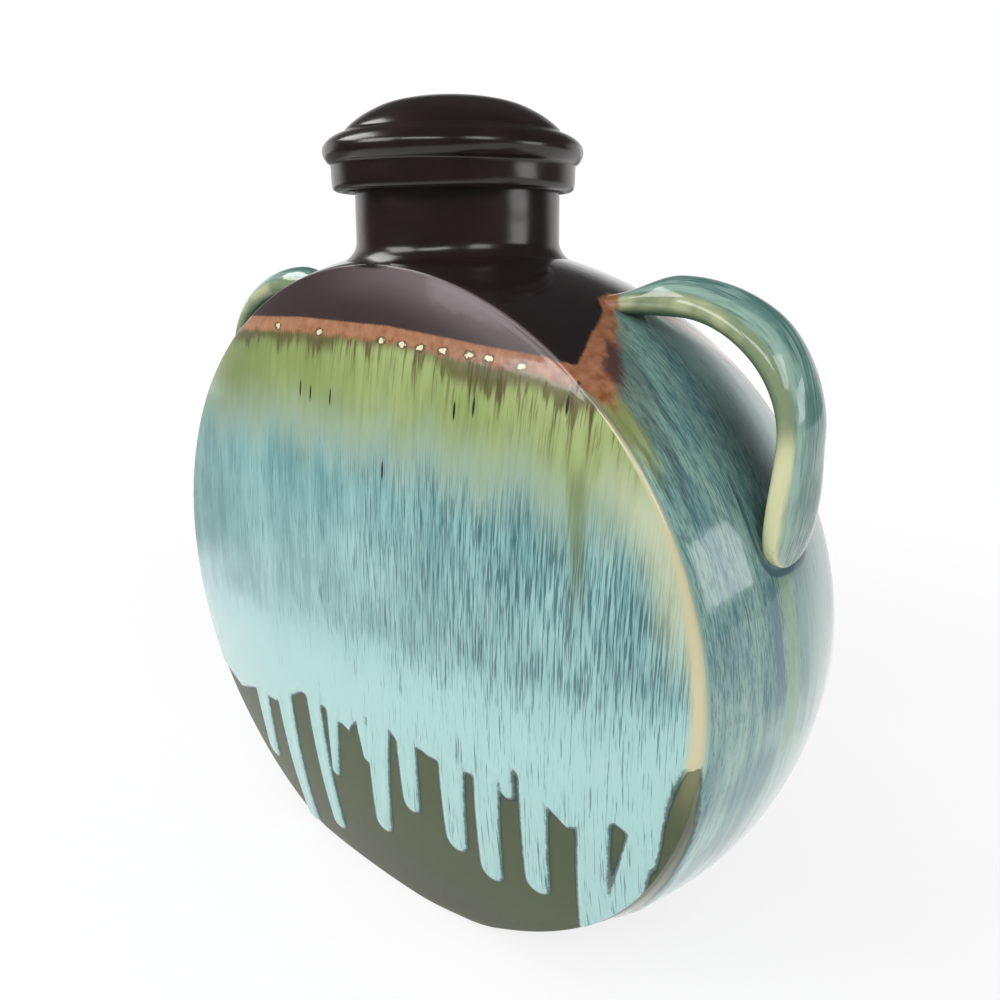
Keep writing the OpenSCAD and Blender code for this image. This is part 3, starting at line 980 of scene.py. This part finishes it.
def mix_strap_glaze(name):
    """Streaked teal on the arched outer side, pale green and cream on the edges and inner side, with painted
    shade inside.
    """
    glaze = Recipe(bpy.data.materials.new(name))
    along = glaze.kept("strap_along")
    across = glaze.kept("strap_across")
    out = glaze.kept("strap_out")
    x, y, z = glaze.place()
    hand = x.sum("SIGN", x) * 5
    run = glaze.grain(across / 2.2, along / 30, hand, detail=3.0, seed=3.0)
    hair = glaze.grain(across / 0.7, along / 9, out * 1.5 + hand, detail=3.0, rough=0.6, seed=8.0)
    cloud = glaze.grain(x / 18, y / 18, z / 18, detail=2.0, seed=2.0)
    outside = glaze.blend(strap_teal, strap_deep, glaze.step(run * 0.5 + hair * 0.5, 0.48, 0.66) * 0.85)
    outside = glaze.blend(outside, strap_pale, glaze.step(hair * 0.5 + cloud * 0.5, 0.52, 0.42) * 0.55)
    edge_tone = glaze.blend(strap_green, strap_cream, glaze.step(z + run * 14, 190, 178))
    edge_tone = glaze.blend(edge_tone, strap_cream, glaze.step(cloud * 0.6 + run * 0.4, 0.46, 0.58) * 0.5)
    mossy = glaze.step(out + (cloud - 0.5) * 0.6, 0.1, -0.7) * glaze.step(z, 165, 190)
    edge_tone = glaze.blend(edge_tone, strap_moss, mossy * 0.8)
    edge_tone = glaze.blend(edge_tone, strap_deep, glaze.step(hair, 0.62, 0.72) * 0.35)
    share = glaze.step(out + (run - 0.5) * 0.3, 0.5, 0.85)
    colour = glaze.blend(edge_tone, outside, share)
    # A pale line along both edges of the arched outer side: glaze breaking thin over the edge, and a painted
    # highlight
    ridge = (1 - glaze.step(abs(out - 0.82), 0.03, 0.15)) * (1 - glaze.step(hair, 0.5, 0.7) * 0.5)
    colour = glaze.blend(colour, strap_pale, ridge * 0.75)
    # Painted shade: the inner side, which faces the band, is darkened halfway to deep teal
    colour = glaze.blend(colour, strap_deep, glaze.step(out, -0.45, -0.9) * 0.5)
    fleck = glaze.grain(across / 0.9, along / 2.6, out * 2 + hand, detail=1.0, seed=14.0)
    colour = glaze.blend(colour, fleck_black, glaze.step(fleck, 0.76, 0.8))
    root = glaze.step(along + (cloud - 0.5) * 3 + (hair - 0.5) * 3, 6.5, 4.5)
    colour = glaze.blend(colour, copper, root)
    tiny = glaze.grain(x / 6, y / 6, z / 6, detail=2.0, seed=5.0)
    relief = glaze.bump(tiny * 0.5 + hair * 0.05, 0.25 * mm, 0.6)
    return glaze.surface(Base_Color=colour, Roughness=0.09, Normal=relief)


strap_glaze = mix_strap_glaze("strap_glaze")
strap = wrap_strap("strap_right", 1, 0, 0.6 * mm)
finish_piece(strap, strap_glaze, "handle_right")
strap = wrap_strap("strap_left", -1, 1.3 * mm, 1.4 * mm)
finish_piece(strap, strap_glaze, "handle_left")


# Lid
# A thrown cap with a domed crown, a rolled bead and a straight skirt that drops over the neck. It is
# loose and sits a little to one side, in the same dark slip.
lid_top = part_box("lid")[1].z
lid_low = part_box("lid")[0].z
lid_skirt_in = 35.8 * mm
lid_steps = 256
lid_shift = Vector((-0.9, -0.8, 0)) * mm


def soft_curve(points, parts):
    """A smooth curve through points, with so many parts between each pair."""
    ends = [points[0]] + list(points) + [points[-1]]
    curve = []
    for a, b, c, d in zip(ends, ends[1:], ends[2:], ends[3:]):
        a, b, c, d = (np.array(p) for p in (a, b, c, d))
        for i in range(parts):
            t = i / parts
            bend = (2 * a - 5 * b + 4 * c - d) * t ** 2 + (3 * b - a - 3 * c + d) * t ** 3
            curve.append(tuple(0.5 * (2 * b + (c - a) * t + bend)))
    return curve + [tuple(points[-1])]


def lid_section():
    """Section of the lid: crown, groove, bead, skirt and the hollow inside."""
    crown = [(0.01, 0), (8, 0.35), (16, 1.35), (23, 3.2), (29, 6.1), (32.4, 8.4), (34.3, 10)]
    groove = [(35.2, 11.1), (36.4, 11.8), (38.2, 12.5), (40.2, 13.7)]
    bead = [(41.7, 15.2), (42.35, 16.9), (42.1, 18.8), (41.1, 20.4), (40.15, 21.2)]
    skirt = [(39.9, 22.2), (39.85, 25), (39.75, 27.4), (39.3, 28.7), (38.3, 29.35)]
    outside = soft_curve(crown + groove + bead + skirt, 5)
    outside = [(r * mm, lid_top - drop * mm) for r, drop in outside]
    hollow = [
        (lid_skirt_in + 1 * mm, lid_low + 0.1 * mm),
        (lid_skirt_in, lid_low + 1 * mm),
        (lid_skirt_in, neck_top + 0.05 * mm),
        (bore_r + 1 * mm, neck_top + 0.1 * mm),
        (bore_r - 1 * mm, neck_top + 1.2 * mm),
        (20 * mm, neck_top + 5.4 * mm),
        (10 * mm, neck_top + 8.2 * mm),
        (0.01 * mm, neck_top + 9 * mm),
    ]
    return outside + hollow


lid = turn_upright_section("lid_cap", lid_section(), lid_steps)
bpy.ops.object.mode_set(mode="EDIT")
bpy.ops.mesh.select_all(action="SELECT")
bpy.ops.transform.translate(value=lid_shift)
bpy.ops.object.mode_set(mode="OBJECT")
finish_piece(lid, dark_slip_finish, "lid", body="lid")


# Studio
# A white paper sweep under the flask and behind it, a dim room in front and large soft lamps.
floor_size = 6
floor_white_near = 0.8
paper_front = 340
paper_left = 360
table_front = 500
table_grey = 0.45
room_grey = 0.06

bpy.ops.object.select_all(action="DESELECT")
bpy.ops.mesh.primitive_plane_add(size=floor_size, location=(0, 0, 0))
floor = bpy.context.object
floor.name = "floor"


def see(recipe):
    """1 for the rays of the camera, and 1 for those of gloss and glass, which show the background too."""
    names = ("Is Camera Ray", "Is Glossy Ray", "Is Transmission Ray")
    camera_ray, glossy_ray, clear_ray = (recipe.add("ShaderNodeLightPath", {}, {}, name) for name in names)
    return camera_ray, glossy_ray.most(clear_ray)


paper = Recipe(bpy.data.materials.new("paper"))
paper_x, paper_y, paper_z = paper.place()
camera_ray, mirror_ray = see(paper)
away = (paper_x ** 2 + paper_y ** 2) ** 0.5
whiteness = floor_white_near + (1 - floor_white_near) * paper.step(away, 240, 600)
shown = 1 - paper.step(-1 * paper_y, paper_front, paper_front + 14) * (1 - table_grey)
shown = shown - paper.step(-1 * paper_y, table_front, table_front + 14) * (table_grey - room_grey)
shown = shown * (1 - paper.step(-1 * paper_x, paper_left, paper_left + 120) * 0.75)
strength = camera_ray + mirror_ray * shown
matt = paper.add("ShaderNodeBsdfDiffuse", {}, {"Color": (0.9, 0.9, 0.9, 1)})
white = paper.add("ShaderNodeEmission", {}, {"Color": (1, 1, 1, 1), "Strength": strength})
share = camera_ray * whiteness + mirror_ray
sweep = paper.add("ShaderNodeMixShader", {}, {0: share, 1: matt, 2: white})
paper.add("ShaderNodeOutputMaterial", {}, {"Surface": sweep}, None)
floor.data.materials.append(paper.owner)


def hang_softbox(name, place, width, height, watts):
    """A softbox that hangs at a place and faces the flask."""
    bpy.ops.object.select_all(action="DESELECT")
    facing = (Vector((0, 0, 0.13)) - Vector(place)).to_track_quat("-Z", "Y").to_euler()
    bpy.ops.object.light_add(type="AREA", location=place, rotation=facing)
    lamp = bpy.context.object
    lamp.name = name
    lamp.data.shape = "RECTANGLE"
    lamp.data.size = width
    lamp.data.size_y = height
    lamp.data.energy = watts


hang_softbox("key_softbox", (-0.55, -1.15, 0.85), 0.8, 0.5, 7.5)
hang_softbox("front_softbox", (0.35, -1.2, 1.0), 0.8, 0.3, 5)
hang_softbox("side_softbox", (1.1, -0.4, 0.95), 0.5, 0.5, 4)
hang_softbox("low_softbox", (1.1, 0.5, 0.4), 0.45, 0.35, 1.9)
hang_softbox("top_softbox", (-0.85, -0.3, 1.0), 0.6, 0.45, 5)

surround = Recipe(bpy.data.worlds.new("surround"))
bpy.context.scene.world = surround.owner
camera_ray, mirror_ray = see(surround)
towards = surround.add("ShaderNodeTexCoord", {}, {}, "Generated")
view = (-math.sin(camera_turn), math.cos(camera_turn), 0)
ahead = surround.add("ShaderNodeVectorMath", {"operation": "DOT_PRODUCT"}, {0: towards, 1: view}, "Value")
height = surround.add("ShaderNodeSeparateXYZ", {}, {0: towards}, 2)
backdrop = surround.step(ahead, 0.38, 0.7) * surround.step(height, 0.46, 0.16)
behind_flask = room_grey + (1 - room_grey) * backdrop
strength = camera_ray + mirror_ray * behind_flask
soft = surround.add("ShaderNodeBackground", {}, {"Color": (1, 1, 1, 1), "Strength": 0.45})
clear = surround.add("ShaderNodeBackground", {}, {"Color": (1, 1, 1, 1), "Strength": strength})
both = surround.add("ShaderNodeMixShader", {}, {0: camera_ray.most(mirror_ray), 1: soft, 2: clear})
surround.add("ShaderNodeOutputWorld", {}, {"Surface": both}, None)

bpy.context.scene.view_settings.view_transform = "Standard"
